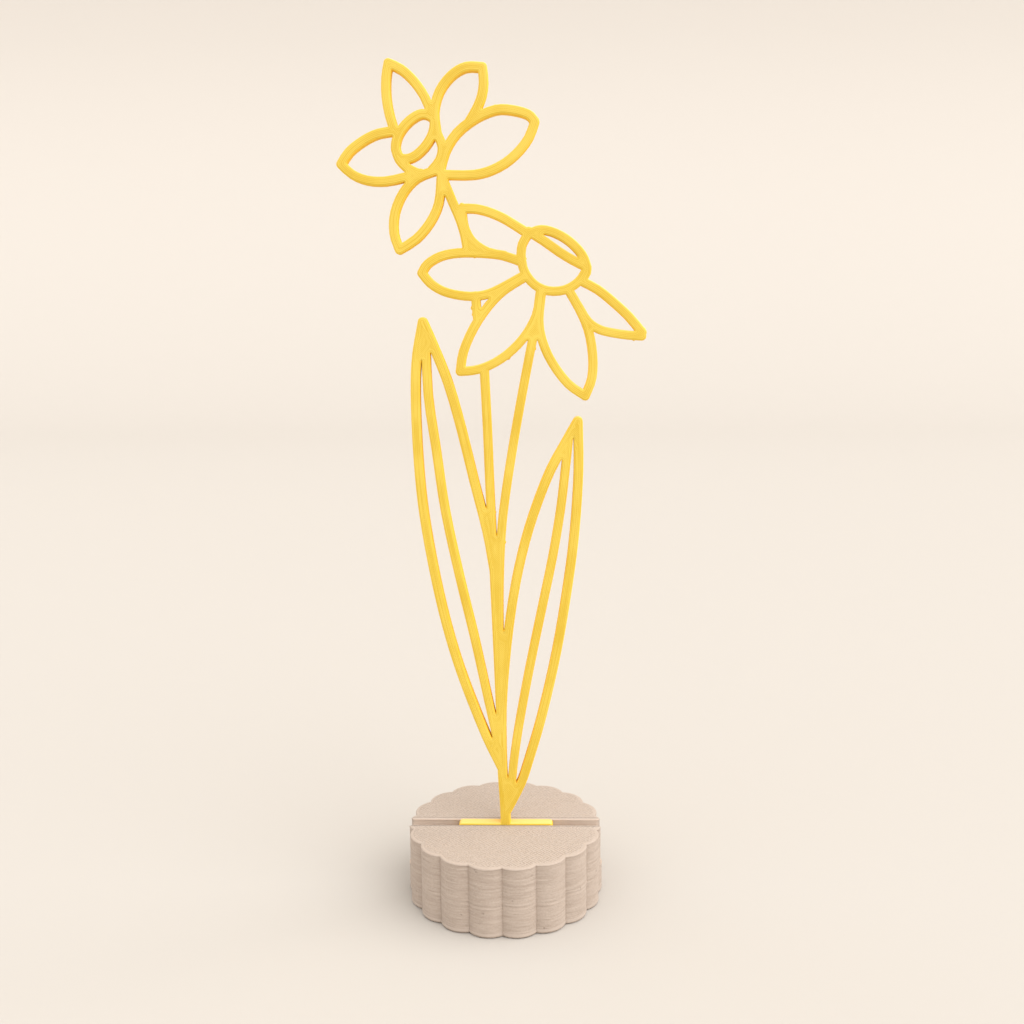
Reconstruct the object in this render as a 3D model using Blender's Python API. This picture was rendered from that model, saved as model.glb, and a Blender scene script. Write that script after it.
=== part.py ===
"""A flat daffodil cutout, two flowers and two leaves drawn with a round pen,
standing by its tab in the slot of a scalloped round base.

Frame: origin at the centre of the base's underside, +Z up, +Y to the back.
"""
import math

import bmesh
import bpy
from mathutils import Vector
from mathutils.geometry import delaunay_2d_cdt

MM = 0.001

# The base: a round block with scalloped sides and a slot right across its top.
LOBE_COUNT = 18
CREST_RADIUS = 30.0
CUSP_RADIUS = 28.5
BASE_HEIGHT = 21.7
BASE_EDGE = 0.6
LOBE_STEPS = 6
SLOT_WIDTH = 4.0
SLOT_DEPTH = 13.0
SLOT_FLARE = 1.8
FLARE_STEPS = 4
FLARE_INSET = 0.1
CUTTER_MARGIN = 2.0
BEVEL_STEPS = 2
FLAT_ANGLE = math.radians(1)
SHARP_ANGLE = math.radians(35)

# The cutout: one flat plate whose foot is a tab that drops into the slot.
PLATE_THICKNESS = 3.4
TAB_WIDTH = 29.0
TAB_CENTRE_X = 0.25
TAB_RISE = 0.3
TAB_CORNER = 1.0
GAP = 0.3

FLOWER_PEN = 2.6
STEM_PEN = 2.6
LEAF_PEN = 2.8
RIB_PEN = 2.6
PEN_STEPS = 8
CORNER_STEPS = 4
CURVE_SHARES = (0.0, 0.25, 0.5, 0.75, 1.0)
CHORD_ERROR = 0.03
BEND_PER_ERROR = 16
NOTCH_TURN = math.radians(18)
NOTCH_RADIUS = 0.15
NOTCH_PROBE = 0.5
LONGEST_REACH = 0.9
FINEST_EDGE = 0.08
SMALLEST_HOLE = 0.5
SAME_POINT = 1e-5

# Pen lines, as points (x, height above the base's top) on the middle of each line.
UPPER_PETALS = (
    ((-29.8, 222.8), (-30.5, 219.0), (-30.6, 214.0), (-29.8, 209.0), (-28.4, 204.5)),
    ((-29.8, 222.8), (-26.2, 221.1), (-22.7, 217.8), (-20.0, 213.8), (-18.0, 209.0)),
    ((-4.0, 221.4), (-8.5, 221.5), (-12.6, 219.3), (-15.9, 215.2), (-17.4, 210.0), (-16.9, 204.5)),
    ((-4.0, 221.4), (-3.7, 217.5), (-4.3, 213.8), (-5.8, 210.4), (-7.8, 207.2)),
    ((10.3, 207.0), (8.4, 208.9), (4.0, 210.1), (-0.5, 210.2), (-6.0, 208.1), (-11.3, 204.2), (-14.6, 199.3),
     (-16.2, 194.0)),
    ((10.3, 207.0), (8.6, 202.7), (5.0, 198.4), (0.0, 195.0), (-6.5, 193.1), (-16.0, 193.2)),
    ((-28.1, 172.9), (-29.5, 177.5), (-29.1, 183.0), (-26.6, 188.4), (-22.6, 192.4), (-17.0, 194.5)),
    ((-28.1, 172.9), (-23.3, 175.8), (-19.3, 180.2), (-16.7, 185.5), (-15.8, 192.8)),
    ((-43.8, 196.3), (-41.4, 199.6), (-37.2, 202.6), (-33.0, 204.4), (-28.4, 205.0)),
    ((-43.8, 196.3), (-40.8, 193.6), (-36.5, 191.9), (-31.5, 191.6), (-26.5, 192.5), (-21.5, 193.6)),
)
UPPER_TRUMPET_RIM = (
    (-28.4, 200.6), (-27.3, 204.3), (-24.4, 207.6), (-20.8, 209.4),
    (-17.7, 208.0), (-18.0, 204.2), (-20.4, 200.5), (-23.8, 197.9), (-27.0, 197.8),
)
UPPER_TRUMPET_SIDES = (
    ((-28.4, 200.0), (-27.4, 197.2), (-25.0, 194.9), (-22.0, 193.5)),
    ((-16.9, 204.5), (-15.4, 200.5), (-16.2, 197.0), (-18.4, 194.4)),
)

LOWER_PETALS = (
    ((-10.3, 184.0), (-6.5, 183.9), (-2.5, 182.9), (2.0, 180.9), (7.4, 177.5)),
    ((-10.3, 184.0), (-9.7, 179.0), (-7.3, 174.8), (-3.0, 172.0), (1.5, 171.1)),
    ((-21.9, 166.4), (-20.2, 168.9), (-16.5, 171.0), (-11.5, 171.9), (-5.0, 171.8), (1.0, 171.1), (6.5, 169.2)),
    ((-21.9, 166.4), (-19.6, 163.6), (-16.0, 161.4), (-11.5, 160.2), (-6.5, 159.9), (-1.5, 161.1),
     (6.5, 165.2)),
    ((-11.5, 138.7), (-10.5, 144.3), (-7.4, 151.1), (-3.0, 157.3), (1.5, 161.6), (7.0, 164.9)),
    ((-11.5, 138.7), (-7.5, 139.0), (-3.0, 140.4), (2.0, 143.4), (6.8, 148.1), (10.4, 154.3), (11.6, 161.0)),
    ((24.4, 131.4), (19.4, 135.0), (14.9, 141.0), (12.2, 147.0), (11.2, 153.0), (12.0, 161.0)),
    ((24.4, 131.4), (26.3, 136.5), (26.5, 143.0), (25.2, 150.2), (22.6, 156.2), (19.5, 161.5)),
    ((40.5, 149.3), (36.7, 153.8), (32.0, 158.1), (27.8, 161.4), (23.5, 163.7)),
    ((40.4, 148.3), (36.5, 148.6), (32.0, 149.3), (28.3, 150.3), (25.0, 152.6), (22.1, 157.2)),
)
LOWER_TRUMPET_BODY = (
    (8.4, 177.0), (6.6, 174.0), (6.3, 170.2), (7.3, 166.3), (9.9, 163.0),
    (13.8, 161.2), (18.5, 161.4), (22.4, 163.6), (24.8, 167.0),
)
LOWER_TRUMPET_RIM = (
    ((8.4, 177.0), (12.0, 178.0), (16.0, 177.0), (20.0, 174.6), (23.4, 171.0), (24.8, 167.0), (23.8, 164.6)),
    ((8.4, 177.6), (12.6, 175.0), (17.0, 171.9), (21.0, 169.5), (24.8, 167.6)),
)

STEMS = (
    ((-15.6, 192.5), (-13.1, 186.4), (-10.8, 180.9), (-9.5, 176.5), (-8.9, 172.6)),
    ((-6.7, 160.0), (-6.6, 157.0), (-6.3, 153.5)),
    ((-4.6, 139.5), (-3.9, 122.0), (-3.4, 105.0), (-2.85, 90.0), (-2.15, 70.0),
     (-1.2, 40.0), (-0.8, 18.0), (-0.3, 8.0), (-0.05, 1.0), (-0.05, -6.0)),
    ((10.2, 151.5), (7.8, 140.0), (4.0, 120.0), (1.0, 101.5), (-0.35, 89.0), (-1.05, 72.0), (-1.0, 50.0),
     (-0.62, 28.0), (-0.5, 20.0), (-0.3, 15.0), (0.4, 2.0), (0.4, -6.0)),
)
LEAF_EDGES = (
    ((-22.0, 152.8), (-24.1, 141.0), (-24.5, 125.0), (-23.6, 104.5), (-21.5, 87.5), (-17.9, 68.0),
     (-13.2, 50.0), (-6.1, 30.0), (-1.0, 18.5)),
    ((-22.0, 152.8), (-19.1, 146.0), (-15.0, 135.2), (-11.4, 121.8), (-8.0, 107.0), (-4.4, 92.0), (-2.4, 80.0)),
    ((22.3, 124.2), (18.8, 118.0), (14.4, 110.0), (10.4, 100.0), (6.9, 89.0), (4.0, 76.5), (1.9, 63.5),
     (0.4, 50.0), (-0.6, 36.0), (-0.65, 20.0)),
    ((22.3, 124.2), (22.5, 110.0), (21.4, 92.0), (19.3, 75.0), (16.0, 55.0), (11.55, 35.0), (7.3, 20.0),
     (5.0, 13.0), (0.8, 4.4)),
)
LEAF_RIBS = (
    ((-21.3, 147.5), (-20.9, 132.0), (-18.9, 116.0), (-16.6, 98.0), (-12.7, 78.0), (-8.7, 60.0), (-4.7, 40.0),
     (-2.4, 28.5), (-1.2, 20.0)),
    ((19.6, 119.0), (19.2, 115.0), (18.65, 110.0), (17.3, 98.5), (14.9, 84.0), (11.5, 67.5), (7.9, 50.0),
     (4.6, 32.0), (2.85, 20.0), (2.15, 13.0), (1.0, 5.0)),
)

YELLOW = (0.93, 0.62, 0.07, 1.0)
YELLOW_ROUGHNESS = 0.42
BEIGE = (0.62, 0.51, 0.40, 1.0)
BEIGE_ROUGHNESS = 0.75


def clear_scene():
    for thing in list(bpy.data.objects):
        bpy.data.objects.remove(thing, do_unlink=True)


def plastic(name, colour, roughness):
    material = bpy.data.materials.new(name)
    material.use_nodes = True
    shader = material.node_tree.nodes["Principled BSDF"]
    shader.inputs["Base Color"].default_value = colour
    shader.inputs["Roughness"].default_value = roughness
    shader.inputs["Metallic"].default_value = 0.0
    return material


def curve_point(before, start, end, after, t):
    """Point at t on the Catmull-Rom span from start to end."""
    return 0.5 * (
        2 * start
        + (end - before) * t
        + (2 * before - 5 * start + 4 * end - after) * t ** 2
        + (3 * start - before - 3 * end + after) * t ** 3
    )


def smooth_path(points, closed=False):
    """Points along a smooth curve, no further apart than the chord error allows."""
    knots = [Vector(point) for point in points]
    if closed:
        knots = [knots[-1], *knots, knots[0], knots[1]]
    else:
        knots = [2 * knots[0] - knots[1], *knots, 2 * knots[-1] - knots[-2]]
    path = []
    for before, start, end, after in zip(knots, knots[1:], knots[2:], knots[3:]):
        bend = (before - 2 * start + end).length + (start - 2 * end + after).length
        steps = max(1, math.ceil(math.sqrt(bend / (BEND_PER_ERROR * CHORD_ERROR))))
        path += [curve_point(before, start, end, after, step / steps) for step in range(steps)]
    if not closed:
        path.append(knots[-2])
    return path


def left_of(direction):
    return Vector((-direction.y, direction.x)).normalized()


def disc(centre, radius):
    count = 2 * PEN_STEPS
    angles = (2 * math.pi * step / count for step in range(count))
    return [centre + radius * Vector((math.cos(angle), math.sin(angle))) for angle in angles]


def pen_line(points, width, closed=False):
    """Convex pieces that together cover one pen line: a quad per chord and round ends."""
    path = smooth_path(points, closed)
    last = len(path) - 1
    sides = []
    for index, point in enumerate(path):
        before = path[index - 1] if closed or index > 0 else point
        after = path[(index + 1) % len(path)] if closed or index < last else point
        side = left_of(after - before) * width / 2
        sides.append((point - side, point + side))
    ends = sides[1:] + sides[:1] if closed else sides[1:]
    pieces = [[right, far_right, far_left, left] for (right, left), (far_right, far_left) in zip(sides, ends)]
    if not closed:
        pieces += [disc(path[0], width / 2), disc(path[-1], width / 2)]
    return pieces


def rounded_tab():
    """The tab that fills the slot, as one convex piece with rounded corners."""
    bottom = GAP - SLOT_DEPTH + TAB_CORNER
    top = TAB_RISE - TAB_CORNER
    reach = TAB_WIDTH / 2 - TAB_CORNER
    outline = []
    for quarter, (x, z) in enumerate(((reach, top), (-reach, top), (-reach, bottom), (reach, bottom))):
        for step in range(CORNER_STEPS + 1):
            angle = math.pi / 2 * (quarter + step / CORNER_STEPS)
            turned = Vector((math.cos(angle), math.sin(angle)))
            outline.append(Vector((TAB_CENTRE_X + x, z)) + TAB_CORNER * turned)
    return outline


def drawing():
    """Every convex piece of the plate, in its own plane, in millimetres."""
    pieces = [rounded_tab()]
    for points in UPPER_PETALS + UPPER_TRUMPET_SIDES + LOWER_PETALS + LOWER_TRUMPET_RIM:
        pieces += pen_line(points, FLOWER_PEN)
    pieces += pen_line(UPPER_TRUMPET_RIM, FLOWER_PEN, closed=True)
    pieces += pen_line(LOWER_TRUMPET_BODY, FLOWER_PEN)
    for points in STEMS:
        pieces += pen_line(points, STEM_PEN)
    for points in LEAF_EDGES:
        pieces += pen_line(points, LEAF_PEN)
    for points in LEAF_RIBS:
        pieces += pen_line(points, RIB_PEN)
    return pieces


def union_outline(pieces):
    """Closed loops round the union of the pieces, with material on their left."""
    corners = []
    faces = []
    for piece in pieces:
        faces.append(list(range(len(corners), len(corners) + len(piece))))
        corners += piece
    points, _, triangles, _, _, sources = delaunay_2d_cdt(corners, [], faces, 0, SAME_POINT, True)
    covered = [triangle for triangle, source in zip(triangles, sources) if source]
    directed = {(a, b) for face in covered for a, b in zip(face, face[1:] + face[:1])}
    following = {a: b for a, b in directed if (b, a) not in directed}
    loops = []
    while following:
        start, here = following.popitem()
        loop = [points[start]]
        while here != start:
            loop.append(points[here])
            here = following.pop(here)
        loops.append(loop)
    return sorted(loops, key=lambda loop: (loop[0].x, loop[0].y))


def enclosed_area(loop):
    return sum(a.x * b.y - b.x * a.y for a, b in zip(loop, loop[1:] + loop[:1])) / 2


def merge_close(loop, nearest):
    kept = []
    for point in loop:
        if not kept or (point - kept[-1]).length > nearest:
            kept.append(point)
    if (kept[0] - kept[-1]).length <= nearest:
        kept.pop()
    return kept


def turn_at(loop, index):
    """Signed turn at a corner, negative where the outline turns into a notch."""
    arriving = loop[index] - loop[index - 1]
    leaving = loop[(index + 1) % len(loop)] - loop[index]
    return math.atan2(arriving.x * leaving.y - arriving.y * leaving.x, arriving.dot(leaving))


def walk(loop, index, direction, distance):
    """Point at a distance along the loop from a corner, and the corners passed."""
    passed = []
    here = loop[index]
    while True:
        index = (index + direction) % len(loop)
        step = loop[index] - here
        if step.length >= distance:
            return here + step.normalized() * distance, passed
        distance -= step.length
        passed.append(index)
        here = loop[index]


def notch_reach(loop, index):
    """How far back from a notch its round starts: further in a narrow one."""
    start, _ = walk(loop, index, -1, NOTCH_PROBE)
    end, _ = walk(loop, index, 1, NOTCH_PROBE)
    opening = (start - loop[index]).angle(end - loop[index])
    return min(NOTCH_RADIUS / math.tan(opening / 2), LONGEST_REACH)


def round_notches(loop):
    """Put a small curve in each notch, where the pen's lines meet at an angle."""
    notches = {index for index in range(len(loop)) if turn_at(loop, index) < -NOTCH_TURN}
    curves = {}
    dropped = set()
    for index in sorted(notches):
        reach = notch_reach(loop, index)
        start, passed_before = walk(loop, index, -1, reach)
        end, passed_after = walk(loop, index, 1, reach)
        passed = set(passed_before + passed_after)
        if passed & (notches | dropped | set(curves)):
            continue
        corner = loop[index]
        curves[index] = [
            start * (1 - t) ** 2 + corner * 2 * t * (1 - t) + end * t ** 2
            for t in CURVE_SHARES
        ]
        dropped |= passed
    rounded = []
    for index, point in enumerate(loop):
        if index not in dropped:
            rounded += curves.get(index, [point])
    return rounded


def add_outline(bm, loop, to_space):
    corners = [bm.verts.new(to_space(point)) for point in loop]
    return [bm.edges.new((a, b)) for a, b in zip(corners, corners[1:] + corners[:1])]


def extrude_outlines(bm, edges, depth):
    """Fill closed outlines and give the fill a thickness along depth."""
    filled = bmesh.ops.triangle_fill(bm, use_beauty=True, use_dissolve=False, edges=edges, normal=depth)
    faces = [item for item in filled["geom"] if isinstance(item, bmesh.types.BMFace)]
    extruded = bmesh.ops.extrude_face_region(bm, geom=faces)
    moved = [item for item in extruded["geom"] if isinstance(item, bmesh.types.BMVert)]
    bmesh.ops.translate(bm, verts=moved, vec=depth)


def new_object(name, bm, material):
    mesh = bpy.data.meshes.new(name)
    bm.to_mesh(mesh)
    bm.free()
    mesh.shade_smooth()
    mesh.set_sharp_from_angle(angle=SHARP_ANGLE)
    mesh.materials.append(material)
    part = bpy.data.objects.new(name, mesh)
    bpy.context.scene.collection.objects.link(part)
    return part


def build_cutout():
    bm = bmesh.new()
    back = PLATE_THICKNESS / 2
    edges = []
    for loop in union_outline(drawing()):
        if abs(enclosed_area(loop)) > SMALLEST_HOLE:
            rounded = merge_close(round_notches(merge_close(loop, FINEST_EDGE)), FINEST_EDGE)
            edges += add_outline(bm, rounded, lambda point: Vector((point.x, back, point.y + BASE_HEIGHT)) * MM)
    extrude_outlines(bm, edges, Vector((0, -PLATE_THICKNESS * MM, 0)))
    return new_object("flower_cutout", bm, plastic("yellow_plastic", YELLOW, YELLOW_ROUGHNESS))


def scalloped_outline():
    """Round outline of equal arcs, bulging out to the crest radius between cusps."""
    half_lobe = math.pi / LOBE_COUNT
    half_chord = CUSP_RADIUS * math.sin(half_lobe)
    rise = CREST_RADIUS - CUSP_RADIUS * math.cos(half_lobe)
    arc_radius = (half_chord ** 2 + rise ** 2) / (2 * rise)
    half_arc = math.asin(half_chord / arc_radius)
    outline = []
    for lobe in range(LOBE_COUNT):
        facing = 2 * half_lobe * lobe
        centre = (CREST_RADIUS - arc_radius) * Vector((math.cos(facing), math.sin(facing)))
        for step in range(LOBE_STEPS):
            angle = facing + half_arc * (2 * step / LOBE_STEPS - 1)
            outline.append(centre + arc_radius * Vector((math.cos(angle), math.sin(angle))))
    return outline


def slot_outline():
    """Straight slot whose ends flare out with a round where they meet the sides."""
    past = CREST_RADIUS + CUTTER_MARGIN
    outline = []
    for side_x, side_y in ((1, -1), (1, 1), (-1, 1), (-1, -1)):
        flare = []
        for step in range(FLARE_STEPS + 1):
            angle = math.pi / 2 * step / FLARE_STEPS
            x = CREST_RADIUS - FLARE_INSET + SLOT_FLARE * (math.sin(angle) - 1)
            y = SLOT_WIDTH / 2 + SLOT_FLARE * (1 - math.cos(angle))
            flare.append(Vector((side_x * x, side_y * y)))
        flare.append(Vector((side_x * past, flare[-1].y)))
        outline += flare if side_x == side_y * -1 else flare[::-1]
    return outline


def build_slot_cutter():
    bm = bmesh.new()
    floor = BASE_HEIGHT - SLOT_DEPTH
    edges = add_outline(bm, slot_outline(), lambda point: Vector((point.x, point.y, floor)) * MM)
    extrude_outlines(bm, edges, Vector((0, 0, (SLOT_DEPTH + CUTTER_MARGIN) * MM)))
    cutter = new_object("slot_cutter", bm, None)
    cutter.hide_render = True
    cutter.display_type = "WIRE"
    return cutter


def build_base():
    bm = bmesh.new()
    edges = add_outline(bm, scalloped_outline(), lambda point: Vector((point.x, point.y, 0)) * MM)
    extrude_outlines(bm, edges, Vector((0, 0, BASE_HEIGHT * MM)))
    bmesh.ops.dissolve_limit(bm, angle_limit=FLAT_ANGLE, verts=bm.verts, edges=bm.edges)
    rims = [edge for edge in bm.edges if abs(edge.verts[0].co.z - edge.verts[1].co.z) < BASE_HEIGHT * MM / 2]
    bmesh.ops.bevel(
        bm, geom=rims, offset=BASE_EDGE * MM, segments=BEVEL_STEPS, profile=0.5, affect="EDGES", material=-1,
    )
    base = new_object("scalloped_base", bm, plastic("beige_plastic", BEIGE, BEIGE_ROUGHNESS))
    slot = base.modifiers.new("slot", "BOOLEAN")
    slot.operation = "DIFFERENCE"
    slot.object = build_slot_cutter()
    return base


def main():
    clear_scene()
    build_cutout()
    build_base()


main()
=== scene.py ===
import math

import bmesh
import bpy
from mathutils import Matrix, Vector, noise
from mathutils.bvhtree import BVHTree


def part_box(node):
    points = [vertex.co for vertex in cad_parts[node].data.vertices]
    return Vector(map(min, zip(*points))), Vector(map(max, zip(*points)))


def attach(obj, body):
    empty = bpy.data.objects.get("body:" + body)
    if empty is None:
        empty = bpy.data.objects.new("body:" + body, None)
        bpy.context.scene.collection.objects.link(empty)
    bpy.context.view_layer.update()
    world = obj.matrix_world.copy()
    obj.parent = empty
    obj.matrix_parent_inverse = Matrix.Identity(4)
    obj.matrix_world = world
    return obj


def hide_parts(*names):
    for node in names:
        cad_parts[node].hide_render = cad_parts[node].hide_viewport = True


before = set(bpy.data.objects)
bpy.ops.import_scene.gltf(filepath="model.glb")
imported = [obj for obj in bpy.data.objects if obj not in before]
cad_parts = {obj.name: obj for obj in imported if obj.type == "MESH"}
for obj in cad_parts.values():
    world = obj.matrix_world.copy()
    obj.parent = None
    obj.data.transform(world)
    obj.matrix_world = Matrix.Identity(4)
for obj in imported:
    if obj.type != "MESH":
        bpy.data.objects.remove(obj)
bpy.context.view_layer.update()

mm = 0.001
weldDistance = 0.001 * mm


class Wire:
    # a node's output socket; Python maths on it adds Math nodes
    def __init__(self, tree, node=None, out=0):
        self.tree = tree
        self.node = node
        self.out = out

    def at(self, out):
        return Wire(self.tree, self.node, out)

    def add(self, kind, sockets=None, out=0, **settings):
        node = self.tree.nodes.new(kind)
        for name, value in settings.items():
            setattr(node, name, value)
        for name, value in (sockets or {}).items():
            if isinstance(value, Wire):
                self.tree.links.new(value.node.outputs[value.out], node.inputs[name])
            else:
                node.inputs[name].default_value = value
        return Wire(self.tree, node, out)

    def math(self, operation, first, second=0.0):
        return self.add("ShaderNodeMath", {0: first, 1: second}, operation=operation)

    def __add__(self, other):
        return self.math("ADD", self, other)

    def __radd__(self, other):
        return self.math("ADD", other, self)

    def __sub__(self, other):
        return self.math("SUBTRACT", self, other)

    def __rsub__(self, other):
        return self.math("SUBTRACT", other, self)

    def __mul__(self, other):
        return self.math("MULTIPLY", self, other)

    def __rmul__(self, other):
        return self.math("MULTIPLY", other, self)

    def __truediv__(self, other):
        return self.math("DIVIDE", self, other)

    def wave(self, pitch):
        # 1 on the crest of each printed line, 0 in the groove between two
        return self.math("COSINE", (self / pitch + 0.5) * (2 * math.pi)) * 0.5 + 0.5

    def step(self, low, high):
        return self.add("ShaderNodeMapRange", {"Value": self, "From Min": low, "From Max": high},
                        interpolation_type="SMOOTHSTEP")


def mixColours(wires, share, colourA, colourB):
    # the Mix node has sockets of one name for each data type, so they are picked by number
    return wires.add("ShaderNodeMix", {0: share, 6: colourA, 7: colourB}, 2, data_type="RGBA")


def newMaterial(name):
    material = bpy.data.materials.new(name)
    material.use_nodes = True
    tree = material.node_tree
    return material, Wire(tree), tree.nodes["Principled BSDF"]


def plug(wires, wire, shader, name):
    wires.tree.links.new(wire.node.outputs[wire.out], shader.inputs[name])


def finishPiece(name, bm, material, node):
    mesh = bpy.data.meshes.new(name)
    bm.to_mesh(mesh)
    bm.free()
    mesh.materials.append(material)
    mesh.shade_smooth()
    piece = bpy.data.objects.new(name, mesh)
    bpy.context.scene.collection.objects.link(piece)
    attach(piece, "root")
    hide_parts(node)
    return piece


# camera, light and floor
camera = {
    "place": (0.01197, -0.3135, 0.17449),
    "pitch": math.radians(10.0),
    "yaw": math.radians(-1.64),
    "roll": math.radians(-0.53),
    "lens": 38.04,
    "sensor": 36.0,
}


def buildCamera():
    view = bpy.data.cameras.new("studioCamera")
    view.lens = camera["lens"]
    view.sensor_width = camera["sensor"]
    pitch, yaw, roll = camera["pitch"], camera["yaw"], camera["roll"]
    ahead = Vector((math.sin(yaw) * math.cos(pitch), math.cos(yaw) * math.cos(pitch), -math.sin(pitch)))
    level = Vector((math.cos(yaw), -math.sin(yaw), 0.0))
    upright = level.cross(ahead)
    right = math.cos(roll) * level + math.sin(roll) * upright
    up = math.cos(roll) * upright - math.sin(roll) * level
    holder = bpy.data.objects.new("studioCamera", view)
    turn = Matrix((right, up, -ahead)).transposed().to_4x4()
    holder.matrix_world = Matrix.Translation(camera["place"]) @ turn
    bpy.context.scene.collection.objects.link(holder)
    bpy.context.scene.camera = holder
    print("camera at", camera["place"])


studio = {
    "floorColour": (0.50, 0.462, 0.418, 1.0),
    # painted light: the wall's colour is paler than the floor's, to even out the weaker light on the wall
    "paintedPaleWallColour": (0.60, 0.553, 0.502, 1.0),
    "skyColour": (1.0, 0.985, 0.965, 1.0),
    "skyStrength": 1.43,
    "sunFrom": (0.66, -0.25, 0.71),
    "sunPower": 2.15,
    "sunSpread": math.radians(70),      # a wide sun stands for a large softbox
    "paperRoughness": 0.9,
    "wallAt": 1.4,
    "wallRound": 0.9,
    "wallHeight": 2.5,
    "bendSteps": 16,
    "floorWidth": 6.0,
    "depthShare": 0.12,                 # of the way back that counts as height in the paper's painted brightening
    "paintedLightRise": (-0.05, 1.1),
}


def buildStudio():
    bpy.context.scene.view_settings.view_transform = "Standard"      # shows the plastics' own colours
    world = bpy.data.worlds.new("softRoom")
    world.use_nodes = True
    background = world.node_tree.nodes["Background"]
    background.inputs["Color"].default_value = studio["skyColour"]
    background.inputs["Strength"].default_value = studio["skyStrength"]
    bpy.context.scene.world = world
    sun = bpy.data.lights.new("softbox", "SUN")
    sun.energy = studio["sunPower"]
    sun.angle = studio["sunSpread"]
    holder = bpy.data.objects.new("softbox", sun)
    holder.rotation_euler = Vector(studio["sunFrom"]).to_track_quat("Z", "Y").to_euler()
    bpy.context.scene.collection.objects.link(holder)
    bm = bmesh.new()
    half = studio["floorWidth"] / 2
    start = bm.verts.new((-half, -half, 0.0))
    far = bmesh.ops.extrude_vert_indiv(bm, verts=[start])["verts"][0]
    far.co = (-half, studio["wallAt"], 0.0)
    pivot = Vector((-half, studio["wallAt"], studio["wallRound"]))
    bmesh.ops.spin(bm, geom=[far], cent=pivot, axis=(1, 0, 0), angle=math.pi / 2,
                   steps=studio["bendSteps"])
    top = max(bm.verts, key=lambda corner: corner.co.z)
    above = bmesh.ops.extrude_vert_indiv(bm, verts=[top])["verts"][0]
    above.co = top.co + Vector((0, 0, studio["wallHeight"]))
    sweep = bmesh.ops.extrude_edge_only(bm, edges=bm.edges[:])
    moved = [item for item in sweep["geom"] if isinstance(item, bmesh.types.BMVert)]
    bmesh.ops.translate(bm, verts=moved, vec=(2 * half, 0, 0))
    mesh = bpy.data.meshes.new("paleFloor")
    bm.to_mesh(mesh)
    bm.free()
    mesh.shade_smooth()
    material, wires, shader = newMaterial("palePaper")
    shader.inputs["Roughness"].default_value = studio["paperRoughness"]
    xyz = wires.add("ShaderNodeSeparateXYZ", {"Vector": wires.add("ShaderNodeTexCoord", out="Object")})
    # painted light: the paper is painted paler up the wall and towards the back, making up for the light the
    # wall lacks
    rise = (xyz.at("Z") + xyz.at("Y") * studio["depthShare"]).step(*studio["paintedLightRise"])
    plug(wires, mixColours(wires, rise, studio["floorColour"], studio["paintedPaleWallColour"]), shader, "Base Color")
    mesh.materials.append(material)
    floor = bpy.data.objects.new("paleFloor", mesh)
    bpy.context.scene.collection.objects.link(floor)
    print("studio:", len(mesh.polygons), "faces of paper")


# the yellow cutout
cutout = {
    "edgeRadius": 0.55 * mm,
    "edgeSteps": 4,
    "longestReach": 2.5,         # times the width of one ring
    "lineWidth": 0.42,           # of one printed line, in mm
    "outerLines": 3,
    "lineHeight": 0.03 * mm,
    "wallLineShare": 0.25,       # of that height, on the walls
    "layerHeight": 0.2,          # also in mm
    "specular": 0.42,
    "colour": (0.685, 0.47, 0.033, 1.0),
    "paleColour": (0.79, 0.585, 0.105, 1.0),
    "deepColour": (0.60, 0.36, 0.014, 1.0),
    "paintedThroughLight": (0.90, 0.53, 0.014, 1.0),     # painted light: the walls are painted a brighter, deeper yellow for the light that passes through the thin plastic
    "paintedTopLight": (0.80, 0.54, 0.15, 1.0),      # painted light: the walls that face up are painted paler, as if lit from above
    "blobSink": 0.6,             # of its radius, for a bead on the edge
    "blobProud": 0.35,           # of its radius, for a bead on the front face
    "blobLength": 1.3,           # of an edge bead, front to back, times its width
    "blobs": (                   # x, height, size in mm, on the front face or on the edge
        (-19.9, 166.6, 1.1, "face"), (-22.5, 164.9, 0.6, "face"), (7.8, 169.6, 0.7, "face"),
        (-36.1, 213.4, 0.6, "face"), (1.6, 231.2, 0.4, "face"), (22.4, 143.0, 0.5, "face"),
        (0.3, 111.3, 0.7, "face"), (-12.9, 224.9, 0.5, "face"), (-0.6, 233.2, 0.9, "edge"),
        (-10.2, 206.8, 1.6, "edge"), (-6.9, 192.0, 1.2, "edge"), (-7.6, 178.3, 1.7, "edge"),
        (-8.2, 176.4, 1.2, "edge"), (2.6, 163.9, 1.4, "edge"), (6.8, 191.7, 1.0, "edge"),
        (10.8, 166.5, 1.2, "edge"), (40.0, 171.2, 1.0, "edge"), (38.1, 168.5, 1.1, "edge"),
        (1.1, 110.3, 1.5, "edge"), (-1.9, 119.3, 1.3, "edge"), (14.2, 135.2, 0.9, "edge"),
    ),
}


def mergedCopy(node):
    bm = bmesh.new()
    bm.from_mesh(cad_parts[node].data)
    bmesh.ops.remove_doubles(bm, verts=bm.verts, dist=weldDistance)
    return bm


def softenRim(bm, faces, radius, steps):
    # rings of faces step in from the rim and turn the edge over in a quarter circle
    out = faces[0].normal.copy()
    for step in range(steps):
        angle = math.pi / 2 * step / steps
        nextAngle = math.pi / 2 * (step + 1) / steps
        width = radius * (math.cos(angle) - math.cos(nextAngle))
        ring = bmesh.ops.inset_region(bm, faces=faces, use_boundary=True, use_even_offset=True,
                                      thickness=width)
        inner = {corner for face in faces for corner in face.verts}
        outer = {corner for face in ring["faces"] for corner in face.verts} - inner
        for edge in {edge for face in ring["faces"] for edge in face.edges}:
            # at a sharp notch the inset runs far ahead, so its reach is held back
            kept, moved = edge.verts if edge.verts[1] in inner else reversed(edge.verts)
            reach = moved.co - kept.co
            if kept in outer and moved in inner and reach.length > cutout["longestReach"] * width:
                moved.co = kept.co + reach * (cutout["longestReach"] * width / reach.length)
        bmesh.ops.translate(bm, verts=list(outer), vec=out * -radius * (1 - math.sin(angle)))


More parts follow.
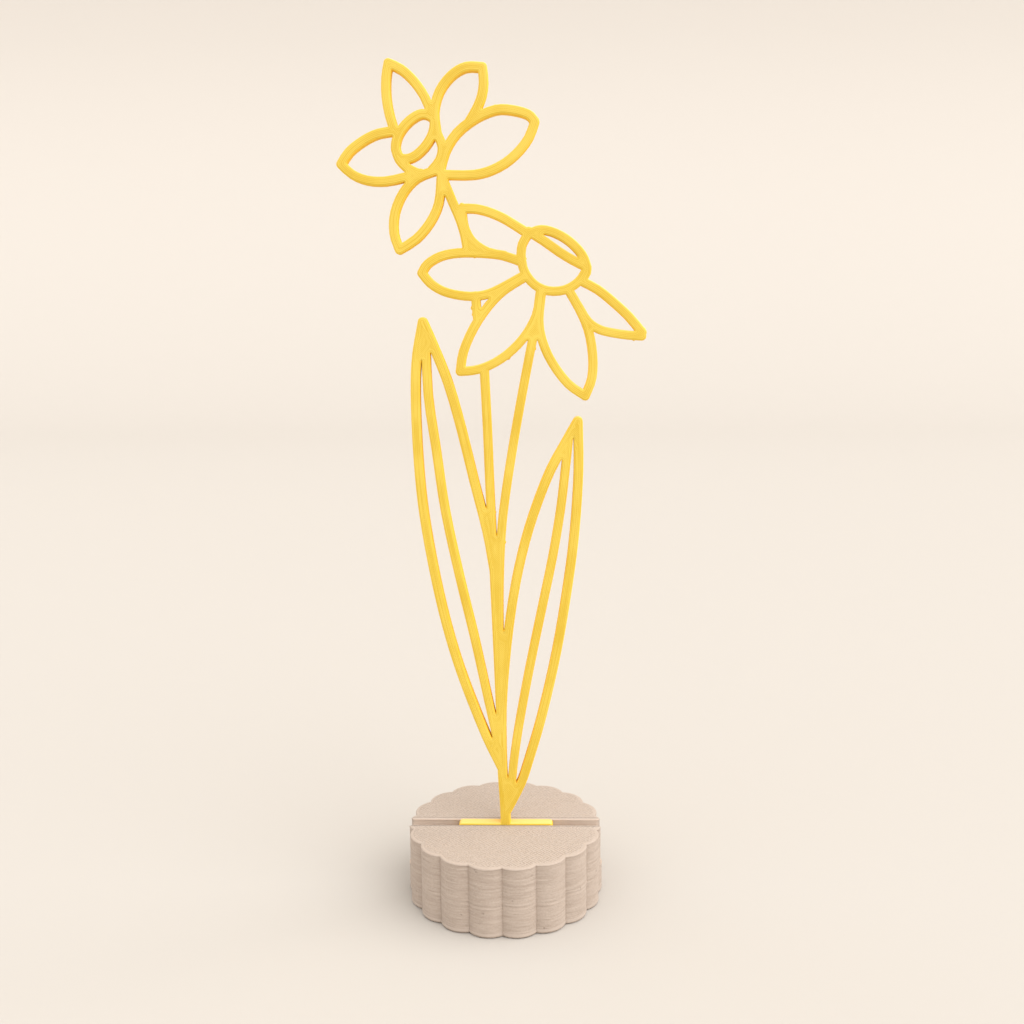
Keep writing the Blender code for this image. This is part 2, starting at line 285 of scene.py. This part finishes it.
def addBlobs(bm, rim):
    # small beads of extra plastic, each sunk into the face or the edge it sits on
    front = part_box("flower_cutout")[0].y
    for x, height, size, spot in cutout["blobs"]:
        radius = size / 2 * mm
        place = Vector((x * mm, front + cutout["blobProud"] * radius, height * mm))
        length = cutout["blobProud"]
        if spot == "edge":
            # a little in front of the middle of the thickness
            place, outward = rim.find_nearest(Vector((place.x, front * 0.4, place.z)))[:2]
            place -= outward * cutout["blobSink"] * radius
            length = cutout["blobLength"]
        shape = Matrix.Translation(place) @ Matrix.Diagonal((1.0, length, 1.0, 1.0))
        bmesh.ops.create_icosphere(bm, subdivisions=2, radius=radius, matrix=shape)


def buildCutout():
    bm = mergedCopy("flower_cutout")
    walls = [face for face in bm.faces if abs(face.normal.y) < 0.5]
    corners = [corner.co.copy() for corner in bm.verts]
    bm.verts.index_update()
    rim = BVHTree.FromPolygons(corners, [[corner.index for corner in face.verts] for face in walls])
    for side in (-1, 1):
        flat = [face for face in bm.faces if face.normal.y * side > 0.5]
        softenRim(bm, flat, cutout["edgeRadius"], cutout["edgeSteps"])
        field = set(flat)
        across = {edge for face in flat for edge in face.edges}
        inside = [edge for edge in across if all(face in field for face in edge.link_faces)]
        bmesh.ops.subdivide_edges(bm, edges=inside, cuts=1)
    bmesh.ops.triangulate(bm, faces=[face for face in bm.faces if len(face.verts) > 4])
    addBlobs(bm, rim)
    distance = bm.verts.layers.float.new("rimDistance")
    for corner in bm.verts:
        onMidPlane = Vector((corner.co.x, 0.0, corner.co.z))
        corner[distance] = rim.find_nearest(onMidPlane)[3] / mm
    piece = finishPiece("daffodilCutout", bm, cutoutPlastic(), "flower_cutout")
    normals = piece.modifiers.new("evenNormals", "WEIGHTED_NORMAL")
    normals.mode = "FACE_AREA"
    print("cutout:", len(piece.data.polygons), "faces")


def cutoutPlastic():
    material, wires, shader = newMaterial("yellowPrint")
    shader.inputs["Specular IOR Level"].default_value = cutout["specular"]
    depth = wires.add("ShaderNodeAttribute", out="Fac", attribute_name="rimDistance")
    place = wires.add("ShaderNodeTexCoord", out="Object")
    xyz = wires.add("ShaderNodeSeparateXYZ", {"Vector": place})
    x, y, z = (xyz.at(axis) / mm for axis in "XYZ")
    width = cutout["lineWidth"]
    rings = depth.wave(width)
    infill = ((x + z) * math.sqrt(0.5)).wave(width)
    inner = depth.step(width * cutout["outerLines"] - 0.08, width * cutout["outerLines"] + 0.08)
    lines = rings * (1 - inner) + infill * inner
    facing = wires.add("ShaderNodeSeparateXYZ", {"Vector": wires.add("ShaderNodeNewGeometry", out="Normal")})
    flat = wires.math("ABSOLUTE", facing.at("Y")).step(0.5, 0.95)
    layers = y.wave(cutout["layerHeight"])
    height = (lines * flat + layers * (1 - flat) * cutout["wallLineShare"]) * cutout["lineHeight"]
    streakAt = wires.add("ShaderNodeCombineXYZ", {"X": depth * 2.1, "Y": x * 0.05, "Z": z * 0.05})
    streaks = wires.add("ShaderNodeTexNoise", {"Vector": streakAt, "Scale": 1.0, "Detail": 2.0})
    blotch = wires.add("ShaderNodeTexNoise", {"Vector": place, "Scale": 90.0, "Detail": 2.0})
    tone = streaks * 0.62 + blotch * 0.38 + (lines - 0.5) * 0.22
    colour = mixColours(wires, tone.step(0.36, 0.64), cutout["deepColour"], cutout["paleColour"])
    colour = mixColours(wires, 0.45, colour, cutout["colour"])
    # painted light on the walls, standing in for light let through the plastic
    colour = mixColours(wires, (1 - flat) * 0.8, colour, cutout["paintedThroughLight"])
    # painted light: walls that face up are painted paler, as if lit from above
    colour = mixColours(wires, (1 - flat) * facing.at("Z").step(0.45, 0.9), colour, cutout["paintedTopLight"])
    plug(wires, colour, shader, "Base Color")
    plug(wires, 0.34 + streaks * 0.16 + (1 - flat) * 0.3, shader, "Roughness")
    bump = wires.add("ShaderNodeBump", {"Strength": 1.0, "Distance": 1.0, "Height": height}, "Normal")
    plug(wires, bump, shader, "Normal")
    return material


# the scalloped base
base = {
    "lobes": 18,
    "cuspShare": 0.95,           # of the crest radius
    "lobeSteps": 14,
    "roomLeft": 0.02 * mm,       # keeps the finer lobes inside the coarser ones' box
    "slotWidth": 4.0 * mm,
    "slotDepth": 13.0 * mm,
    "slotFlare": 1.8 * mm,
    "flareBack": 0.1 * mm,       # from the widest lobe to the end of the slot's flare
    "flareSteps": 6,
    "rimRadius": 0.5 * mm,
    "rimSteps": 4,
    "footRadius": 0.9 * mm,
    "rimBand": 1.1,              # of smooth plastic round the top, in mm
    "foot": 1.3 * mm,            # the first layers spread a little, so the foot stands proud
    "layer": 0.4 * mm,
    "flatPart": (0.3, 0.75),     # of each layer; the groove lies between two of them
    "layersBack": 0.1 * mm,
    "leastBack": 0.01 * mm,
    "groove": 0.06 * mm,
    "unevenness": 0.06 * mm,
    "proudBy": 0.06 * mm,
    "proudLayers": (19, 22, 24),
    "sharpAngle": math.radians(38),
    "lineWidth": 0.42,
    "colour": (0.42, 0.335, 0.272, 1.0),
    "paleColour": (0.50, 0.412, 0.345, 1.0),
    # the dark tone serves the random tone and also the painted shade in pits, lobe valleys and under the
    # foot
    "darkToneAndShade": (0.31, 0.238, 0.188, 1.0),
    "paintedSlotLight": (0.56, 0.445, 0.36, 1.0),      # painted light: the slot's walls are painted paler for light passed from wall to wall
}


def scallopOutline(radius):
    halfLobe = math.pi / base["lobes"]
    cusp = radius * base["cuspShare"]
    halfChord = cusp * math.sin(halfLobe)
    rise = radius - cusp * math.cos(halfLobe)
    arcRadius = (halfChord ** 2 + rise ** 2) / (2 * rise)
    halfArc = math.asin(halfChord / arcRadius)
    outline = []
    for lobe in range(base["lobes"]):
        facing = 2 * halfLobe * lobe
        centre = (radius - arcRadius) * Vector((math.cos(facing), math.sin(facing), 0))
        for step in range(base["lobeSteps"]):
            angle = facing + halfArc * (2 * step / base["lobeSteps"] - 1)
            outline.append(centre + arcRadius * Vector((math.cos(angle), math.sin(angle), 0)))
    return outline


def slotOutline(radius):
    # a straight slot whose mouths open out in a round at both ends
    outline = []
    for sideX, sideY in ((1, -1), (1, 1), (-1, 1), (-1, -1)):
        mouth = []
        for step in range(base["flareSteps"] + 1):
            angle = math.pi / 2 * step / base["flareSteps"]
            x = radius - base["flareBack"] + base["slotFlare"] * (math.sin(angle) - 1)
            y = base["slotWidth"] / 2 + base["slotFlare"] * (1 - math.cos(angle))
            mouth.append(Vector((sideX * x, sideY * y, 0)))
        mouth.append(Vector((sideX * (radius + 2 * mm), mouth[-1].y, 0)))
        outline += mouth if sideX == -sideY else mouth[::-1]
    return outline


def plainObject(name, bm):
    mesh = bpy.data.meshes.new(name)
    bm.to_mesh(mesh)
    bm.free()
    thing = bpy.data.objects.new(name, mesh)
    bpy.context.scene.collection.objects.link(thing)
    return thing


def prism(outline, low, high):
    bm = bmesh.new()
    bottom = bm.faces.new([bm.verts.new(point + Vector((0, 0, low))) for point in outline])
    lifted = bmesh.ops.extrude_face_region(bm, geom=[bottom])
    moved = [item for item in lifted["geom"] if isinstance(item, bmesh.types.BMVert)]
    bmesh.ops.translate(bm, verts=moved, vec=(0, 0, high - low))
    bmesh.ops.recalc_face_normals(bm, faces=bm.faces)
    return bm


def slottedBlock(radius, top):
    block = plainObject("baseBlock", prism(scallopOutline(radius), 0.0, top))
    cutter = plainObject("slotCutter", prism(slotOutline(radius), top - base["slotDepth"], top + 5 * mm))
    cut = block.modifiers.new("slot", "BOOLEAN")
    cut.operation = "DIFFERENCE"
    cut.object = cutter
    bpy.context.view_layer.update()
    bm = bmesh.new()
    bm.from_mesh(block.evaluated_get(bpy.context.evaluated_depsgraph_get()).to_mesh())
    bpy.data.objects.remove(block)
    bpy.data.objects.remove(cutter)
    bmesh.ops.remove_doubles(bm, verts=bm.verts, dist=weldDistance)
    bmesh.ops.dissolve_limit(bm, angle_limit=math.radians(0.5), verts=bm.verts, edges=bm.edges)
    return bm


def roundRims(bm, top):
    for height, radius in ((top, base["rimRadius"]), (0.0, base["footRadius"])):
        rims = []
        for edge in bm.edges:
            level = all(abs(corner.co.z - height) < 0.01 * mm for corner in edge.verts)
            if level and sum(abs(face.normal.z) for face in edge.link_faces) < 1.5:
                rims.append(edge)
        bmesh.ops.bevel(bm, geom=rims, offset=radius, segments=base["rimSteps"], profile=0.5,
                        affect="EDGES", material=-1)


def layerInset(layer):
    # how far back one printed layer lies
    uneven = noise.noise(Vector((layer * 0.83, 3.1, 7.7))) * base["unevenness"]
    proud = base["proudBy"] if layer in base["proudLayers"] else 0.0
    return max(base["leastBack"], base["layersBack"] + uneven - proud)


def printLayers(bm, top):
    # cut the walls at each layer, then draw every ring in a little, deepest between two layers
    layers = int((top - base["foot"] - base["rimRadius"]) / base["layer"])
    insetAt = {}
    for layer in range(layers):
        low = base["foot"] + layer * base["layer"]
        back = layerInset(layer)
        for share in base["flatPart"]:
            insetAt[round((low + share * base["layer"]) / mm, 3)] = back
        insetAt[round((low + base["layer"]) / mm, 3)] = back + base["groove"]
    for height in insetAt:
        geometry = bm.verts[:] + bm.edges[:] + bm.faces[:]
        bmesh.ops.bisect_plane(bm, geom=geometry, dist=0.0001 * mm, plane_co=(0, 0, height * mm),
                               plane_no=(0, 0, 1))
    bm.normal_update()
    moves = []
    for corner in bm.verts:
        back = insetAt.get(round(corner.co.z / mm, 3), 0.0)
        if back:
            outward = Vector((corner.normal.x, corner.normal.y, 0)).normalized()
            moves.append((corner, outward * -back))
    for corner, move in moves:
        corner.co += move


def buildBase():
    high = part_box("scalloped_base")[1]
    radius = high[0] - base["roomLeft"]
    top = high[2]
    bm = slottedBlock(radius, top)
    roundRims(bm, top)
    printLayers(bm, top)
    plastic = basePlastic(radius / mm, top / mm)
    piece = finishPiece("scallopedBase", bm, plastic, "scalloped_base")
    piece.data.set_sharp_from_angle(angle=base["sharpAngle"])
    print("base:", len(piece.data.polygons), "faces")


def basePlastic(radius, top):
    material, wires, shader = newMaterial("beigePrint")
    place = wires.add("ShaderNodeTexCoord", out="Object")
    xyz = wires.add("ShaderNodeSeparateXYZ", {"Vector": place})
    x, y, z = (xyz.at(axis) / mm for axis in "XYZ")
    onTop = z.step(top - 0.3, top - 0.12)
    # distance in from the scalloped rim and from the slot; the rim's own band stays smooth
    # the turn counts lobes from a cusp, and 100 more of them keep it above zero
    lobeTurn = wires.math("ARCTAN2", y, x) * (base["lobes"] / (2 * math.pi)) + 100.5
    acrossLobe = (wires.math("FRACT", lobeTurn) - 0.5) * 2
    rimAt = radius - acrossLobe * acrossLobe * (radius * (1 - base["cuspShare"]))
    fromRim = rimAt - wires.math("SQRT", x * x + y * y)
    fromSlot = wires.math("ABSOLUTE", y) - base["slotWidth"] / mm / 2
    band = base["rimBand"]
    slotBand = band / 2
    onField = onTop * fromRim.step(band - 0.1, band + 0.25) * fromSlot.step(slotBand - 0.1, slotBand + 0.2)
    wander = wires.add("ShaderNodeTexNoise", {"Vector": place, "Scale": 700.0, "Detail": 2.0})
    weaveA = ((x + y) * math.sqrt(0.5) + wander * 1.1).wave(base["lineWidth"] * 2)
    weaveB = ((x - y) * math.sqrt(0.5) + wander * 1.1).wave(base["lineWidth"] * 2)
    weave = (weaveA + weaveB) * 0.5
    grain = wires.add("ShaderNodeTexNoise", {"Vector": place, "Scale": 1900.0, "Detail": 3.0})
    streakAt = wires.add("ShaderNodeCombineXYZ", {"X": x * 0.12, "Y": y * 0.12, "Z": z * 1.6})
    streaks = wires.add("ShaderNodeTexNoise", {"Vector": streakAt, "Scale": 1.0, "Detail": 5.0,
                                               "Roughness": 0.65})
    inSlot = (1 - fromSlot.step(0.15, 0.4)) * (z - (top - base["slotDepth"] / mm)).step(-0.2, 0.0)
    pits = wires.add("ShaderNodeTexVoronoi", {"Vector": place, "Scale": 260.0}, "Distance")
    # pits: real dents in the bump, with painted shade inside them in the colour
    pitDentAndShade = (1 - pits.step(0.05, 0.10)) * (1 - onTop) * (1 - inSlot)
    ridges = weave * onField * 0.13 + grain * (onField * 0.28 + 0.02) + streaks * (1 - onTop) * 0.14
    ridges = ridges - pitDentAndShade * 0.12 - onField * 0.08
    # painted highlight: a paler band along the proud foot, where it catches the light
    paintedFootHighlight = z.step(0.7, 0.9) * (1 - z.step(1.35, 1.5))
    tone = grain * 0.35 + (streaks * 0.95 - 0.15) * (1 - onTop) + onTop * 0.42
    tone = tone + (weave + grain - 1) * onField * 0.7 + paintedFootHighlight * 0.4
    colour = mixColours(wires, tone.step(0.28, 0.72), base["darkToneAndShade"], base["paleColour"])
    colour = mixColours(wires, 0.5, colour, base["colour"])
    # painted shade: the lobes' valleys are painted darker where shade gathers
    paintedValleyShade = (acrossLobe * acrossLobe).step(0.8, 1.0) * (1 - onTop) * (1 - inSlot)
    # painted shade: the undercut below the foot is painted dark as a contact shadow
    paintedContactShade = 1 - z.step(0.3, 0.6)
    # painted shade: pits, the lobes' valleys and the undercut below the foot are mixed toward the dark
    # colour
    shaded = wires.math("MAXIMUM", wires.math("MAXIMUM", pitDentAndShade * 0.6, paintedValleyShade * 0.35), paintedContactShade * 0.8)
    colour = mixColours(wires, shaded, colour, base["darkToneAndShade"])
    # painted light: the slot's walls are painted paler for the light bounced inside the slot
    colour = mixColours(wires, inSlot * (1 - onTop), colour, base["paintedSlotLight"])
    plug(wires, colour, shader, "Base Color")
    plug(wires, 0.62 + grain * 0.16, shader, "Roughness")
    bump = wires.add("ShaderNodeBump", {"Strength": 1.0, "Distance": 1.0, "Height": ridges * mm}, "Normal")
    plug(wires, bump, shader, "Normal")
    return material


buildCamera()
buildStudio()
buildCutout()
buildBase()
bpy.context.view_layer.update()
